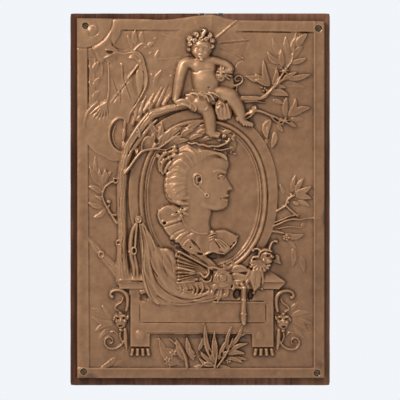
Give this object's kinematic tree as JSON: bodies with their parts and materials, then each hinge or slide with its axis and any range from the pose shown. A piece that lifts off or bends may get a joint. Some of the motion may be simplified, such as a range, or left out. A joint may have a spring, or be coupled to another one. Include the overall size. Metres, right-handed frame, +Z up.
{
  "type": "relief plaque",
  "caption": "Upright cast bronze relief plaque with an oval portrait medallion, tree and putto, screwed to a wooden board.",
  "frame": {"origin": "centre of the board's flat back face, where it lies on the wall", "axes": "+Z up the plaque's long side, +Y out of the back towards the wall, the relief faces -Y"},
  "size_m": [0.2598, 0.0366, 0.3722],
  "materials": {
    "wood": "dark reddish brown, worn satin",
    "bronze": "brown patina, rubbed lighter on the high parts",
    "iron": "blackened, dull"
  },
  "bodies": {
    "root": {"backboard": "wood", "plaque": "bronze", "screw_top_left": "iron", "screw_top_right": "iron", "screw_bottom_left": "iron", "screw_bottom_right": "iron", "hanger": "iron"}
  },
  "joints": []
}
